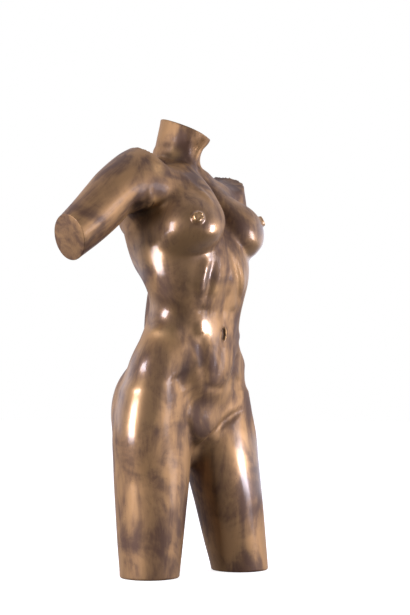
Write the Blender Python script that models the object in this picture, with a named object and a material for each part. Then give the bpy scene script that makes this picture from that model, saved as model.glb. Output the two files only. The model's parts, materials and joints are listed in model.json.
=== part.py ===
"""A life-size torso of a woman, cast in bronze in one piece: no head, the arms and thighs cut off flat.

Metres, +Z up. The figure faces -Y, its own left is +X, and it stands on its two cut thighs at Z = 0.
The body is a set of soft forms, one for each part of the anatomy, that run into each other as modelling
clay does. They are laid out on a straight figure, which is then turned at the waist into its pose.
A rough blank of the same forms is remeshed, drawn in onto them, carved with strokes and cut flat.
"""

import math

import bmesh
import bpy
import numpy as np
from mathutils import Matrix, Vector

# Driving sizes, in metres
HEIGHT = 0.870  # from the floor to the highest point of the neck's cut
TRIANGLES = 9600  # of the finished solid

# The figure's own units: it is this tall in them, so one is a millimetre when HEIGHT is 0.870
FIGURE = 870.0
UNIT = HEIGHT / FIGURE

# The pose, in degrees about Z: the pelvis and the shoulders turn opposite ways
PELVIS_TURN, PELVIS_HEIGHT = -7.0, 330.0
SHOULDER_TURN, SHOULDER_HEIGHT = 8.0, 720.0

# Where the middle of the box around the posed figure is, from the body's own axis: the origin goes there
MIDDLE = (-38.2, 1.9)

# The flat cuts of the posed figure: a point on each, the way that it faces, and how far around it cuts
NECK_CUT = ((0, 0, 845), (0.22, -0.31, 0.92), 200)
RIGHT_ARM_CUT = ((-307, -2, 603), (-0.894, 0.105, -0.437), 110)
LEFT_ARM_CUT = ((208, 94, 622), (0.453, 0.367, -0.81), 120)
FLOOR_CUT = ((0, 0, 0), (0, 0, -1), 400)

BLANK_VOXEL = 9.0
SKIN_VOXEL = 5.0
STROKE_STEPS = 6

# Each station of a loft: height, centre X, centre Y, half width, depths to the front and back, squareness
TRUNK = (
    (204, 0, 14, 8, 10, 18, 2.0),
    (240, 0, 10, 84, 28, 58, 2.0),
    (290, -2, 10, 134, 52, 74, 2.1),
    (340, -2, 10, 134, 60, 78, 2.2),
    (395, -1, 5, 123, 70, 76, 2.2),
    (440, 1, -2, 105, 68, 66, 2.3),
    (490, 3, -10, 100, 68, 62, 2.4),
    (520, 4, -13, 104, 73, 61, 2.4),
    (555, 5, -14, 112, 82, 62, 2.3),
    (600, 5, -12, 120, 84, 68, 2.2),
    (660, 3, 2, 124, 78, 82, 2.2),
    (710, 0, 14, 126, 68, 78, 2.3),
    (750, 0, 22, 102, 48, 64, 2.2),
    (778, -2, 26, 46, 39, 50, 2.1),
    (806, -3, 27, 40, 38, 44, 2.0),
)
# How far each thigh leans to X and Y for each unit down from the hip joint: the left one is set forward
HIP_JOINT = 300
RIGHT_LEAN, LEFT_LEAN = (0.037, 0.037), (0.040, -0.043)
THIGH = (
    (-30, 106, -4, 52, 52, 52, 2.1),
    (0, 104, -4, 54, 54, 54, 2.1),
    (60, 99, 0, 60, 59, 59, 2.1),
    (120, 94, 4, 66, 63, 62, 2.1),
    (200, 87, 6, 74, 61, 70, 2.1),
    (280, 84, 6, 76, 54, 72, 2.1),
    (340, 82, 6, 60, 46, 60, 2.0),
)
NECK = (
    (770, -3, 28, 40, 40, 48, 2.2),
    (800, -3, 27, 42, 42, 45, 2.3),
    (825, -2, 21, 44, 55, 46, 2.2),
    (860, 0, 14, 45, 58, 46, 2.1),
    (920, 0, 4, 45, 58, 48, 2.1),
)
# An arm's stations are heights along its own axis, from the middle of the shoulder outwards
RIGHT_ARM = (
    (-30, 0, 0, 44, 42, 46, 2.0),
    (20, 8, 0, 44, 43, 50, 2.0),
    (60, 11, 0, 46, 44, 49, 2.0),
    (100, 8, 0, 47, 44, 47, 2.0),
    (150, 5, 0, 45, 42, 44, 2.0),
    (205, 4, 0, 41, 40, 41, 2.0),
    (255, 3, 0, 38, 38, 38, 2.0),
)
LEFT_ARM = (
    (-30, 0, 0, 44, 46, 46, 2.0),
    (30, 0, 0, 48, 48, 48, 2.0),
    (100, 0, 0, 45, 45, 45, 2.0),
    (180, 0, 0, 42, 42, 42, 2.0),
)
SHOULDER = (150, 20, 734)
RIGHT_ARM_DIRECTION = (-0.755, 0.10, -0.648)
LEFT_ARM_DIRECTION = (0.50, 0.30, -0.81)

# Each ellipsoid: where it is, centre, half sizes, tilt about X, Y and Z in degrees, and its blend's width.
# Those on both sides are given on the figure's left.
BOTH, RIGHT, LEFT = "both", "right", "left"
ELLIPSOIDS = {
    "right_breast": (RIGHT, (72, -43, 645), (70, 67, 61), (0, 0, 0), 9),
    "left_breast": (LEFT, (73, -43, 651), (71, 67, 61), (0, 0, 0), 9),
    "right_slope": (RIGHT, (65, -43, 701), (56, 27, 100), (-40, 0, 24), 20),
    "left_slope": (LEFT, (60, -40, 695), (54, 26, 94), (-40, 0, 24), 20),
    "right_nipple": (RIGHT, (118, -97, 654), (13, 11, 12), (0, 0, 0), 5),
    "left_nipple": (LEFT, (109, -91, 673), (13, 12, 12), (0, 0, 0), 5),
    "right_pectoral": (RIGHT, (126, -6, 718), (70, 34, 36), (0, 16, 12), 24),
    "left_pectoral": (LEFT, (112, -4, 718), (62, 30, 34), (0, 16, 14), 22),
    "right_deltoid": (RIGHT, (160, 24, 722), (46, 42, 60), (0, -49, 0), 24),
    "left_deltoid": (LEFT, (150, 22, 702), (50, 42, 55), (0, -25, 0), 24),
    "right_trapezius": (RIGHT, (74, 36, 766), (78, 24, 20), (0, 5, 0), 20),
    "left_trapezius": (LEFT, (76, 36, 733), (74, 24, 20), (0, 2, 0), 20),
    "shoulder_blade": (BOTH, (76, 74, 694), (42, 20, 60), (0, 0, 14), 34),
    "back_muscle": (BOTH, (98, 38, 656), (34, 34, 92), (0, 8, 0), 38),
    "rib_side": (RIGHT, (86, -9, 584), (42, 46, 90), (-20, 10, 0), 34),
    "loin": (BOTH, (34, 56, 450), (26, 24, 110), (0, 0, 0), 30),
    "belly": (LEFT, (8, -34, 394), (52, 38, 74), (0, 0, 0), 40),
    "buttock": (BOTH, (64, 60, 302), (65, 56, 95), (0, 0, 0), 24),
    "right_hip": (RIGHT, (101, -8, 340), (44, 43, 140), (0, -12, 0), 34),
    "left_hip": (LEFT, (91, 16, 310), (44, 48, 76), (0, 8, 0), 34),
    "hip_bone": (BOTH, (97, -5, 386), (20, 18, 32), (0, 20, 0), 34),
    "pubic_mound": (BOTH, (0, -30, 284), (36, 20, 34), (0, 0, 0), 24),
}

# Each stroke of the carving: where it is, half width, height over the skin (below it when negative),
# and the places that it passes through
STROKES = {
    "clavicle": (BOTH, 8, 4, (12, -24, 771), (42, -20, 772), (78, -6, 774), (112, 5, 777), (142, 12, 778)),
    "over_clavicle": (BOTH, 13, -3, (34, 0, 784), (66, 8, 786), (96, 18, 786)),
    "sternomastoid": (
        RIGHT, 6, 5, (36, -19, 832), (32, -18, 813), (26, -18, 797), (20, -20, 784), (13, -22, 774),
    ),
    "far_sternomastoid": (
        LEFT, 6, 5, (30, -34, 842), (22, -30, 826), (10, -27, 808), (-2, -22, 792), (-8, -24, 778),
    ),
    "shoulder_line": (
        RIGHT, 9, 4, (162, -12, 770), (137, -28, 757), (112, -33, 748), (90, -43, 739), (76, -58, 722),
        (75, -82, 701), (76, -94, 686),
    ),
    "neck_hollow": (LEFT, 7, -7, (-4, -28, 828), (-5, -26, 813), (-8, -22, 799)),
    "throat_pit": (LEFT, 8, -4, (4, -24, 786), (3, -26, 774)),
    "breastbone": (LEFT, 12, -5, (0, -34, 755), (0, -60, 710), (0, -78, 660), (0, -90, 610)),
    "armpit": (RIGHT, 11, -9, (198, -8, 678), (189, -4, 668), (182, 2, 656), (182, 8, 646)),
    "armpit_fold": (RIGHT, 6, 7, (180, -30, 704), (172, -28, 692), (162, -25, 680), (151, -18, 664)),
    "right_costal_ridge": (RIGHT, 12, 5, (62, -84, 582), (64, -82, 558), (63, -80, 536), (54, -80, 514)),
    "right_costal_groove": (RIGHT, 7, -4, (45, -92, 584), (51, -90, 557), (47, -85, 530), (46, -76, 502)),
    "right_band": (RIGHT, 8, 3, (30, -95, 568), (31, -92, 542), (29, -84, 514)),
    "left_costal_groove": (LEFT, 7, -4, (-4, -94, 600), (22, -98, 563), (40, -89, 531), (56, -74, 500)),
    "left_costal_ridge": (LEFT, 10, 3, (18, -95, 598), (40, -92, 562), (56, -80, 528)),
    "midline": (LEFT, 7, -3, (-6, -94, 590), (0, -90, 540), (8, -82, 500), (10, -78, 470)),
    "low_midline": (LEFT, 8, -2, (9, -76, 430), (7, -76, 405), (4, -62, 365)),
    "band_pocket": (BOTH, 8, -3, (26, -76, 491), (39, -73, 491), (54, -67, 493)),
    "navel_bulge": (BOTH, 12, 2.5, (47, -71, 474), (45, -72, 460), (40, -73, 446)),
    "navel": (LEFT, 3.4, -9, (12, -78, 461), (13, -78, 450), (11, -77, 438)),
    "navel_rim": (LEFT, 3, 2, (17, -78, 462), (19, -77, 450), (16, -77, 438)),
    "flank_roll": (BOTH, 11, 3.5, (108, -4, 450), (102, -20, 450), (94, -36, 450), (76, -54, 450)),
    "waist_crease": (BOTH, 7, -2, (106, -14, 436), (99, -30, 434), (88, -42, 432)),
    "hip_crest": (
        BOTH, 12, 3, (128, -12, 390), (120, -30, 400), (104, -42, 412), (80, -52, 422), (58, -60, 426),
    ),
    "belly_edge": (RIGHT, 10, -5, (38, -68, 436), (36, -68, 414), (32, -70, 392), (26, -66, 362)),
    "far_belly_edge": (LEFT, 12, -6, (64, -50, 416), (58, -52, 394), (48, -54, 368), (36, -54, 342)),
    "belly_fold": (LEFT, 7, -1.5, (-20, -58, 356), (4, -60, 350), (24, -57, 352)),
    "hip_hollow": (BOTH, 24, -3, (84, -44, 372), (70, -48, 340)),
    "left_groin": (
        LEFT, 7, -7, (92, -46, 308), (62, -46, 292), (38, -44, 277), (16, -38, 258), (4, -22, 238),
    ),
    "right_groin": (RIGHT, 8, -3, (52, -46, 297), (42, -44, 270), (24, -32, 246), (8, -18, 232)),
    "spine": (
        LEFT, 12, -5, (0, 94, 716), (0, 92, 660), (2, 74, 590), (3, 60, 520), (3, 60, 450),
        (0, 76, 384),
    ),
    "blade_edge": (
        BOTH, 12, -3, (42, 90, 738), (46, 94, 690), (58, 90, 650), (84, 82, 634), (106, 66, 644),
    ),
    "loin_edge": (BOTH, 17, -3, (54, 62, 540), (52, 58, 460), (58, 68, 408)),
    "sacral_dimple": (BOTH, 8, -4, (33, 84, 386), (31, 86, 377)),
    "cleft": (LEFT, 8, -12, (0, 96, 352), (0, 112, 315), (0, 108, 268), (0, 70, 224)),
    "gluteal_fold": (BOTH, 7, -6, (16, 86, 226), (44, 96, 221), (80, 84, 230), (104, 62, 246)),
}


def smooth_curve(at, stations):
    """What the stations say at these places, on a smooth curve through them, level past its ends."""
    table = np.array(stations, float)
    places, values = table[:, 0], table[:, 1:]
    slopes = np.gradient(values, places, axis=0)
    at = np.clip(at, places[0], places[-1])
    first = np.clip(np.searchsorted(places, at, side="right") - 1, 0, len(places) - 2)
    span = (places[first + 1] - places[first])[:, None]
    t = (at - places[first])[:, None] / span
    start, end = values[first], values[first + 1]
    lift = t * t * (3 - 2 * t)
    leave = t * (1 - t) ** 2 * span * slopes[first]
    arrive = t * t * (t - 1) * span * slopes[first + 1]
    return start + (end - start) * lift + leave + arrive


def loft_distance(points, stations):
    """How far each point is outside the loft through these stations."""
    x, y, z = points.T
    centre_x, centre_y, width, front, back, square = smooth_curve(z, stations).T
    x, y = np.abs(x - centre_x), y - centre_y
    depth = np.where(y < 0, front, back)
    share = ((x / width) ** square + (np.abs(y) / depth) ** square) ** (1 / square)
    reach = np.hypot(x, y)
    side = reach - reach / np.maximum(share, 1e-3)
    past_end = np.maximum(z - stations[-1][0], stations[0][0] - z)
    outside = np.hypot(np.maximum(side, 0), np.maximum(past_end, 0))
    return np.where((side > 0) | (past_end > 0), outside, np.maximum(side, past_end))


def turn_matrix(degrees):
    """A turn about X, then Y, then Z."""
    x, y, z = (math.radians(angle) for angle in degrees)
    turned = Matrix.Rotation(z, 3, "Z") @ Matrix.Rotation(y, 3, "Y") @ Matrix.Rotation(x, 3, "X")
    return np.array(turned)


def ellipsoid_distance(points, centre, sizes, tilt):
    local = (points - np.array(centre, float)) @ turn_matrix(tilt)
    sizes = np.array(sizes, float)
    share = np.linalg.norm(local / sizes, axis=1)
    steepness = np.linalg.norm(local / sizes**2, axis=1)
    return share * (share - 1) / np.maximum(steepness, 1e-6)


def joined(first, second, blend):
    """The distance to two forms that run into each other over a fillet about this wide."""
    mix = np.clip(0.5 + 0.5 * (second - first) / blend, 0, 1)
    return second + (first - second) * mix - blend * mix * (1 - mix)


def arm_frame(direction):
    """The matrix whose Z column is the arm's own axis."""
    axis = Vector(direction).normalized()
    side = Vector((0, 1, 0)).cross(axis).normalized()
    return np.array(Matrix((side, axis.cross(side), axis)).transposed())


def arm_distance(points, side, direction, stations):
    shoulder = np.array(SHOULDER, float) * (side, 1, 1)
    return loft_distance((points - shoulder) @ arm_frame(direction), stations)


def stroke_path(places):
    """A smooth line through the places, laid on the uncarved figure."""
    stations = np.column_stack((np.arange(len(places)), np.array(places, float)))
    steps = np.linspace(0, len(places) - 1, STROKE_STEPS * (len(places) - 1) + 1)
    return drawn_onto(form_distance, smooth_curve(steps, stations), rounds=4)


def stroke_height(points, width, height, path):
    """How much a stroke raises the skin at each point: most along its middle, less to its sides and ends."""
    reach = 3 * width
    low, high = path.min(axis=0) - reach, path.max(axis=0) + reach
    near = np.flatnonzero(((points > low) & (points < high)).all(axis=1))
    raised = np.zeros(len(points))
    if not len(near):
        return raised
    spans = path[1:] - path[:-1]
    from_start = points[near, None, :] - path[None, :-1, :]
    along = (from_start * spans).sum(axis=2) / (spans**2).sum(axis=1)
    along = np.clip(along, 0, 1)
    away = np.linalg.norm(from_start - along[..., None] * spans, axis=2)
    closest = away.argmin(axis=1)
    rows = np.arange(len(near))
    share = (closest + along[rows, closest]) / len(spans)
    fade = np.clip(np.minimum(share, 1 - share) / 0.2, 0, 1)
    raised[near] = height * (0.25 + 0.75 * fade) * np.exp(-((away[rows, closest] / width) ** 2))
    return raised


def thigh_distance(points, side, lean):
    """One thigh, leaning: every point is first set back upright, on the left side."""
    upright = points.copy()
    drop = np.maximum(HIP_JOINT - points[:, 2], 0)
    upright[:, 0] = (points[:, 0] - drop * lean[0]) * side
    upright[:, 1] = points[:, 1] - drop * lean[1]
    return loft_distance(upright, THIGH)


def by_side(points):
    """The points as a form on each side sees them, all set on the figure's left."""
    half = points.copy()
    half[:, 0] = np.abs(half[:, 0])
    return {BOTH: half, RIGHT: points * (-1, 1, 1), LEFT: points}


def form_distance(points):
    """How far each point is outside the straight figure, uncarved and before its pose."""
    sides = by_side(points)
    body = loft_distance(points, TRUNK)
    body = joined(body, thigh_distance(points, -1, RIGHT_LEAN), 26)
    body = joined(body, thigh_distance(points, 1, LEFT_LEAN), 26)
    for side, centre, sizes, tilt, blend in ELLIPSOIDS.values():
        body = joined(body, ellipsoid_distance(sides[side], centre, sizes, tilt), blend)
    body = joined(body, loft_distance(points, NECK), 15)
    body = joined(body, arm_distance(points, -1, RIGHT_ARM_DIRECTION, RIGHT_ARM), 24)
    return joined(body, arm_distance(points, 1, LEFT_ARM_DIRECTION, LEFT_ARM), 24)


def carved_distance(points, strokes):
    """How far each point is outside the straight figure with these strokes carved."""
    body = form_distance(points)
    sides = by_side(points)
    for side, width, height, path in strokes:
        body = body - stroke_height(sides[side], width, height, path)
    return body


def turned_about_z(points, degrees):
    angle = np.radians(degrees)
    x, y, z = points.T
    return np.column_stack(
        (x * np.cos(angle) - y * np.sin(angle), x * np.sin(angle) + y * np.cos(angle), z)
    )


def twist_at(height):
    """How far the pose turns the figure at this height, in degrees."""
    t = np.clip((height - PELVIS_HEIGHT) / (SHOULDER_HEIGHT - PELVIS_HEIGHT), 0, 1)
    return PELVIS_TURN + (SHOULDER_TURN - PELVIS_TURN) * t * t * (3 - 2 * t)


def carved_figure():
    """The distance to the finished figure, carved and posed."""
    strokes = []
    for side, width, height, *places in STROKES.values():
        strokes.append((side, width, height, stroke_path(places)))

    def distance(points):
        return carved_distance(turned_about_z(points, -twist_at(points[:, 2])), strokes)

    return distance


def slope_at(distance, points, step=0.6):
    """The distance's slope along X, Y and Z at each point."""
    slope = np.empty_like(points)
    for axis in range(3):
        offset = np.zeros(3)
        offset[axis] = step
        slope[:, axis] = (distance(points + offset) - distance(points - offset)) / (2 * step)
    return slope


def drawn_onto(distance, points, rounds, most=8.0):
    """The points, each moved along the slope until it lies where the distance is nothing."""
    for _ in range(rounds):
        slope = slope_at(distance, points)
        steep = np.maximum((slope**2).sum(axis=1), 0.05)
        move = distance(points) / steep
        length = np.abs(move) * np.sqrt(steep)
        move *= np.minimum(1, most / np.maximum(length, 1e-6))
        points = points - slope * move[:, None]
    return points


def mesh_points(mesh):
    flat = np.empty(len(mesh.vertices) * 3, np.float32)
    mesh.vertices.foreach_get("co", flat)
    return flat.reshape(-1, 3).astype(float)


def move_points(mesh, points):
    mesh.vertices.foreach_set("co", points.astype(np.float32).ravel())
    mesh.update()


def add_loft(shape, stations, frame=None, origin=(0, 0, 0)):
    """Adds a closed skin through the stations to the bmesh."""
    frame = np.eye(3) if frame is None else frame
    sides = 24
    rings = []
    for height, x, y, width, front, back, _ in stations:
        around = np.arange(sides) * 2 * math.pi / sides
        depth = np.where(np.sin(around) < 0, front, back)
        local = np.column_stack(
            (x + width * np.cos(around), y + depth * np.sin(around), np.full(sides, height))
        )
        ring = [shape.verts.new(point) for point in local @ frame.T + origin]
        edges = [shape.edges.new((ring[i], ring[i - 1])) for i in range(sides)]
        rings.append(edges)
    for lower, upper in zip(rings, rings[1:]):
        bmesh.ops.bridge_loops(shape, edges=lower + upper)
    for edges in (rings[0], rings[-1]):
        bmesh.ops.holes_fill(shape, edges=edges, sides=sides)


def add_ellipsoid(shape, centre, sizes, tilt, side):
    turn = Matrix(turn_matrix(tilt).tolist()).to_4x4()
    place = Matrix.Translation(centre) @ turn @ Matrix.Diagonal((*sizes, 1))
    mirror = Matrix.Diagonal((side, 1, 1, 1))
    bmesh.ops.create_icosphere(shape, subdivisions=3, radius=1, matrix=mirror @ place)


def mirrored(stations):
    return [(height, -x, *rest) for height, x, *rest in stations]


def blank():
    """The rough closed mesh of all the forms, unposed: lofts and ellipsoids that overlap."""
    shape = bmesh.new()
    add_loft(shape, TRUNK)
    add_loft(shape, NECK)
    add_loft(shape, THIGH)
    add_loft(shape, mirrored(THIGH))
    arms = ((-1, RIGHT_ARM_DIRECTION, RIGHT_ARM), (1, LEFT_ARM_DIRECTION, LEFT_ARM))
    for side, direction, stations in arms:
        origin = np.array(SHOULDER, float) * (side, 1, 1)
        add_loft(shape, stations, arm_frame(direction), origin)
        for _, centre, sizes, tilt, _ in ELLIPSOIDS.values():
            add_ellipsoid(shape, centre, sizes, tilt, side)
    bmesh.ops.recalc_face_normals(shape, faces=shape.faces)
    mesh = bpy.data.meshes.new("torso")
    shape.to_mesh(mesh)
    shape.free()
    return mesh


def remeshed(obj, voxel):
    """The object's mesh made anew in even quads."""
    modifier = obj.modifiers.new("remesh", "REMESH")
    modifier.mode = "VOXEL"
    modifier.voxel_size = voxel
    graph = bpy.context.evaluated_depsgraph_get()
    made = bpy.data.meshes.new_from_object(obj.evaluated_get(graph))
    obj.modifiers.clear()
    obj.data = made
    made.name = obj.name


def cut_flat(mesh, cuts):
    """Cuts the mesh by each plane, drops what lies beyond, and closes it with a flat face."""
    shape = bmesh.new()
    shape.from_mesh(mesh)
    for point, facing, reach in cuts:
        away = Vector(facing).normalized()
        middle = Vector(point) + away * 40
        near = [vert for vert in shape.verts if (vert.co - middle).length < reach]
        edges = {edge for vert in near for edge in vert.link_edges}
        faces = {face for vert in near for face in vert.link_faces}
        bmesh.ops.bisect_plane(
            shape,
            geom=near + list(edges) + list(faces),
            plane_co=Vector(point),
            plane_no=away,
            clear_outer=True,
        )
        rim = [edge for edge in shape.edges if edge.is_boundary]
        bmesh.ops.holes_fill(shape, edges=rim, sides=0)
    bmesh.ops.recalc_face_normals(shape, faces=shape.faces)
    shape.to_mesh(mesh)
    shape.free()


def bronze():
    material = bpy.data.materials.new("bronze")
    material.use_nodes = True
    surface = material.node_tree.nodes["Principled BSDF"]
    surface.inputs["Base Color"].default_value = (0.27, 0.17, 0.09, 1)
    surface.inputs["Metallic"].default_value = 1.0
    surface.inputs["Roughness"].default_value = 0.3
    return material


def posed(points):
    return turned_about_z(points, twist_at(points[:, 2]))


def sculpt(voxel):
    """The torso at its full fineness, in the figure's own units."""
    torso = bpy.data.objects.new("torso", blank())
    bpy.context.scene.collection.objects.link(torso)
    figure = carved_figure()
    remeshed(torso, BLANK_VOXEL)
    move_points(torso.data, drawn_onto(figure, posed(mesh_points(torso.data)), rounds=5))
    remeshed(torso, voxel)
    move_points(torso.data, drawn_onto(figure, mesh_points(torso.data), rounds=3))
    cut_flat(torso.data, (NECK_CUT, RIGHT_ARM_CUT, LEFT_ARM_CUT, FLOOR_CUT))
    return torso


def main():
    for old in list(bpy.data.objects):
        bpy.data.objects.remove(old)
    torso = sculpt(SKIN_VOXEL)
    move_points(torso.data, (mesh_points(torso.data) - (*MIDDLE, 0)) * UNIT)
    torso.data.materials.append(bronze())
    torso.data.shade_smooth()
    thin = torso.modifiers.new("thin", "DECIMATE")
    torso.data.calc_loop_triangles()
    thin.ratio = TRIANGLES / len(torso.data.loop_triangles)


if __name__ == "__main__":
    main()
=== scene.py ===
"""A life-size torso of a woman in brown patinated bronze, on the pale floor of a studio.

Metres, +Z up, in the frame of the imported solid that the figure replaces. The figure faces -Y, its own
left is +X, and it stands on its two cut thighs. Its body is a set of soft forms, one for each part of the
anatomy, that run into each other as modelling clay does. They are laid out on a straight figure, which is
then turned at the waist into its pose. A rough blank of the same forms is remeshed, drawn in onto them,
carved with strokes and cut flat.
"""

import json
import math

import bmesh
import bpy
import numpy as np
from bpy.props import FloatProperty, FloatVectorProperty, PointerProperty
from mathutils import Matrix, Vector

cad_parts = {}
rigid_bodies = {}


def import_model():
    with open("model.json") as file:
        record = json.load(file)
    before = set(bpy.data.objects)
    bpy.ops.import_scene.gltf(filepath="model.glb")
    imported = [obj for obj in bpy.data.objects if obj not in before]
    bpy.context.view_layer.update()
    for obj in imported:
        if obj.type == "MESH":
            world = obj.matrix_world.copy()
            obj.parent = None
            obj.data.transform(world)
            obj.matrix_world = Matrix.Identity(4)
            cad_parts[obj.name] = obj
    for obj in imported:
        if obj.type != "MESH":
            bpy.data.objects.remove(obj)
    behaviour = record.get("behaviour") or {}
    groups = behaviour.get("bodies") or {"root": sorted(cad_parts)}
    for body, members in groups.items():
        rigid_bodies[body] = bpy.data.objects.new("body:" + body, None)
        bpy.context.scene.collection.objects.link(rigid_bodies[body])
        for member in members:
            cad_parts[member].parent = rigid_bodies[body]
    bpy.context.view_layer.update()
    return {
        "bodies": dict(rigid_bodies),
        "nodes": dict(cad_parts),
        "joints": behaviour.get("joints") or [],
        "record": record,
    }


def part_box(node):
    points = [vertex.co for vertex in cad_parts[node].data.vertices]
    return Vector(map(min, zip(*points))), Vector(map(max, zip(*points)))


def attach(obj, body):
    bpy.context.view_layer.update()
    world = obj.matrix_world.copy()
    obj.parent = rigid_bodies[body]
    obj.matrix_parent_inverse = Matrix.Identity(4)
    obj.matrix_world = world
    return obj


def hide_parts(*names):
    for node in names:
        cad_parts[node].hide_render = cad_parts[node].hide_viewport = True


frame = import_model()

bl_info = {
    "name": "Bronze Torso",
    "version": (1, 0, 0),
    "blender": (4, 5, 0),
    "location": "View3D > Sidebar > Torso",
    "description": "Makes a patinated bronze torso and the studio that it stands in",
    "category": "Add Mesh",
}

# The figure's own units: one is a millimetre when the figure's box is this tall
FIGURE_TOP = 868.8
STANDS_ON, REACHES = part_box("torso")
FRAME_HEIGHT = REACHES.z - STANDS_ON.z

# The pose, in degrees about Z: the pelvis and the shoulders turn opposite ways
PELVIS_TURN, PELVIS_HEIGHT = -7.0, 330.0
SHOULDER_TURN, SHOULDER_HEIGHT = 8.0, 720.0

# Where the middle of the box around the posed figure is, from the body's own axis: the origin goes there
MIDDLE = (-38.2, 1.9)

# The flat cuts of the posed figure: a point on each, the way that it faces, and how far around it cuts
NECK_CUT = ((0, 0, 845), (0.22, -0.31, 0.92), 200)
RIGHT_ARM_CUT = ((-307, -2, 603), (-0.894, 0.105, -0.437), 110)
LEFT_ARM_CUT = ((208, 94, 622), (0.453, 0.367, -0.81), 120)
FLOOR_CUT = ((0, 0, 0), (0, 0, -1), 400)
CUTS = (NECK_CUT, RIGHT_ARM_CUT, LEFT_ARM_CUT, FLOOR_CUT)

# The blank: its skin's voxels, the sides of its lofts, and how fine its ellipsoids are
BLANK_VOXEL = 9.0
LOFT_SIDES = 24
ELLIPSOID_FINENESS = 3

# How often the blank, the finer skin and a stroke's path are drawn in onto the figure
BLANK_DRAWS, SKIN_DRAWS, PATH_DRAWS = 5, 3, 4
# The furthest that one draw moves a point, and the step that the slope is read over
DRAW_REACH, SLOPE_STEP = 8.0, 0.6

# The fillets where the thighs, the neck and the arms run into the body
THIGH_BLEND, NECK_BLEND, ARM_BLEND = 26, 15, 24

# A stroke: its steps between two places, how many half widths it reaches, and how its ends fade
STROKE_STEPS = 6
STROKE_REACH = 3
END_HEIGHT, END_SHARE = 0.25, 0.2

# How far beyond its plane the middle of a cut's reach lies
CUT_MIDDLE = 40

# Each station of a loft: height, centre X, centre Y, half width, depths to the front and back, squareness
TRUNK = (
    (204, 0, 14, 8, 10, 18, 2.0),
    (240, 0, 10, 84, 28, 58, 2.0),
    (290, -2, 10, 134, 52, 74, 2.1),
    (340, -2, 10, 134, 60, 78, 2.2),
    (395, -1, 5, 123, 70, 76, 2.2),
    (440, 1, -2, 105, 68, 66, 2.3),
    (490, 3, -10, 100, 68, 62, 2.4),
    (520, 4, -13, 104, 73, 61, 2.4),
    (555, 5, -14, 112, 82, 62, 2.3),
    (600, 5, -12, 120, 84, 68, 2.2),
    (660, 3, 2, 124, 78, 82, 2.2),
    (710, 0, 14, 126, 68, 78, 2.3),
    (750, 0, 22, 102, 48, 64, 2.2),
    (778, -2, 26, 46, 39, 50, 2.1),
    (806, -3, 27, 40, 38, 44, 2.0),
)
# How far each thigh leans to X and Y for each unit down from the hip joint: the left one is set forward
HIP_JOINT = 300
RIGHT_LEAN, LEFT_LEAN = (0.037, 0.037), (0.040, -0.043)
THIGH = (
    (-30, 106, -4, 52, 52, 52, 2.1),
    (0, 104, -4, 54, 54, 54, 2.1),
    (60, 99, 0, 60, 59, 59, 2.1),
    (120, 94, 4, 66, 63, 62, 2.1),
    (200, 87, 6, 74, 61, 70, 2.1),
    (280, 84, 6, 76, 54, 72, 2.1),
    (340, 82, 6, 60, 46, 60, 2.0),
)
NECK = (
    (770, -3, 28, 40, 40, 48, 2.2),
    (800, -3, 27, 42, 42, 45, 2.3),
    (825, -2, 21, 44, 55, 46, 2.2),
    (860, 0, 14, 45, 58, 46, 2.1),
    (920, 0, 4, 45, 58, 48, 2.1),
)
# An arm's stations are heights along its own axis, from the middle of the shoulder outwards
RIGHT_ARM = (
    (-30, 0, 0, 44, 42, 46, 2.0),
    (20, 8, 0, 44, 43, 50, 2.0),
    (60, 11, 0, 46, 44, 49, 2.0),
    (100, 8, 0, 47, 44, 47, 2.0),
    (150, 5, 0, 45, 42, 44, 2.0),
    (205, 4, 0, 41, 40, 41, 2.0),
    (255, 3, 0, 38, 38, 38, 2.0),
)
LEFT_ARM = (
    (-30, 0, 0, 44, 46, 46, 2.0),
    (30, 0, 0, 48, 48, 48, 2.0),
    (100, 0, 0, 45, 45, 45, 2.0),
    (180, 0, 0, 42, 42, 42, 2.0),
)
SHOULDER = (150, 20, 734)
RIGHT_ARM_DIRECTION = (-0.755, 0.10, -0.648)
LEFT_ARM_DIRECTION = (0.50, 0.30, -0.81)

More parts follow.
